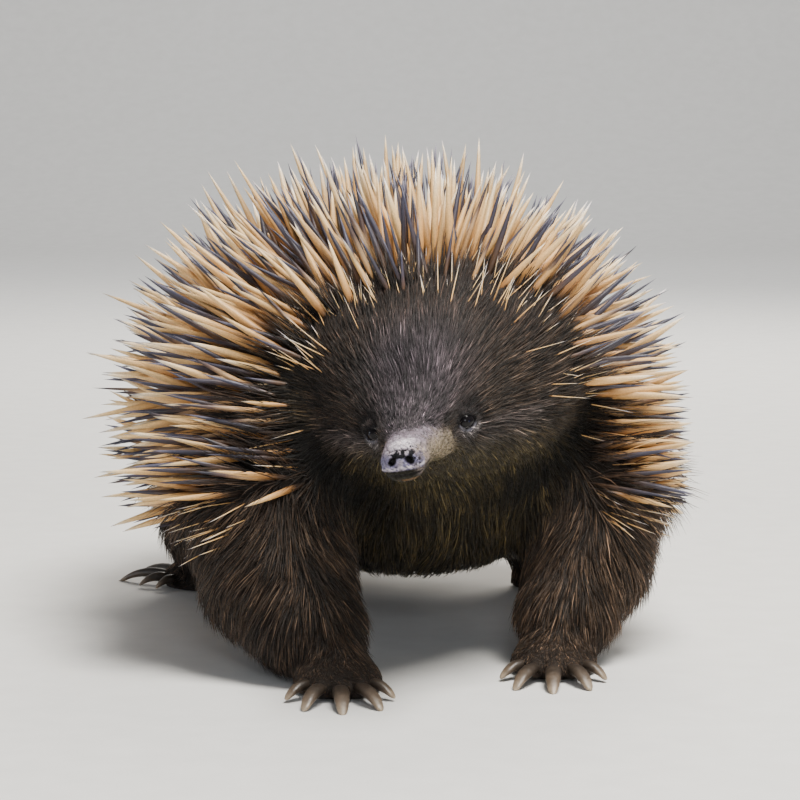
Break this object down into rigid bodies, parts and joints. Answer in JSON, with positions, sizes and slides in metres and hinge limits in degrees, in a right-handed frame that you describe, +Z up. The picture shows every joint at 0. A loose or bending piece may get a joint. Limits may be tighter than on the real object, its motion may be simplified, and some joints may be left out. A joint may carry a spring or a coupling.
{
  "type": "short-beaked echidna",
  "caption": "Spiny egg-laying mammal standing on all fours: domed back of long spines, brown furry face, bare tubular snout and broad digging claws.",
  "frame": {"origin": "on the floor, under the middle of the animal's bounding box", "axes": "+Z up, the animal faces -Y, its own left side is towards +X"},
  "size_m": [0.2566, 0.4098, 0.216],
  "materials": {
    "spines": "smooth dry keratin spines, golden to cream, with pale or blue-black tips",
    "hair": "coarse dark brown fur with a few paler hairs",
    "skin": "bare wrinkled lilac-grey to dark skin, slightly moist on the snout",
    "claw": "worn horn, dark at the root and paler at the edge",
    "eye": "wet, glossy near-black eye"
  },
  "bodies": {
    "root": {"trunk": "spines", "head": "hair", "beak": "skin", "tail": "hair", "eye_left": "eye", "eye_right": "eye", "front_right_leg": "hair", "front_right_foot": "skin", "front_right_claw_1": "claw", "front_right_claw_2": "claw", "front_right_claw_3": "claw", "front_right_claw_4": "claw", "front_right_claw_5": "claw", "front_left_leg": "hair", "front_left_foot": "skin", "front_left_claw_1": "claw", "front_left_claw_2": "claw", "front_left_claw_3": "claw", "front_left_claw_4": "claw", "front_left_claw_5": "claw", "hind_right_leg": "hair", "hind_right_foot": "skin", "hind_right_claw_1": "claw", "hind_right_claw_2": "claw", "hind_right_claw_3": "claw", "hind_right_claw_4": "claw", "hind_right_claw_5": "claw", "hind_left_leg": "hair", "hind_left_foot": "skin", "hind_left_claw_1": "claw", "hind_left_claw_2": "claw", "hind_left_claw_3": "claw", "hind_left_claw_4": "claw", "hind_left_claw_5": "claw"}
  },
  "joints": []
}
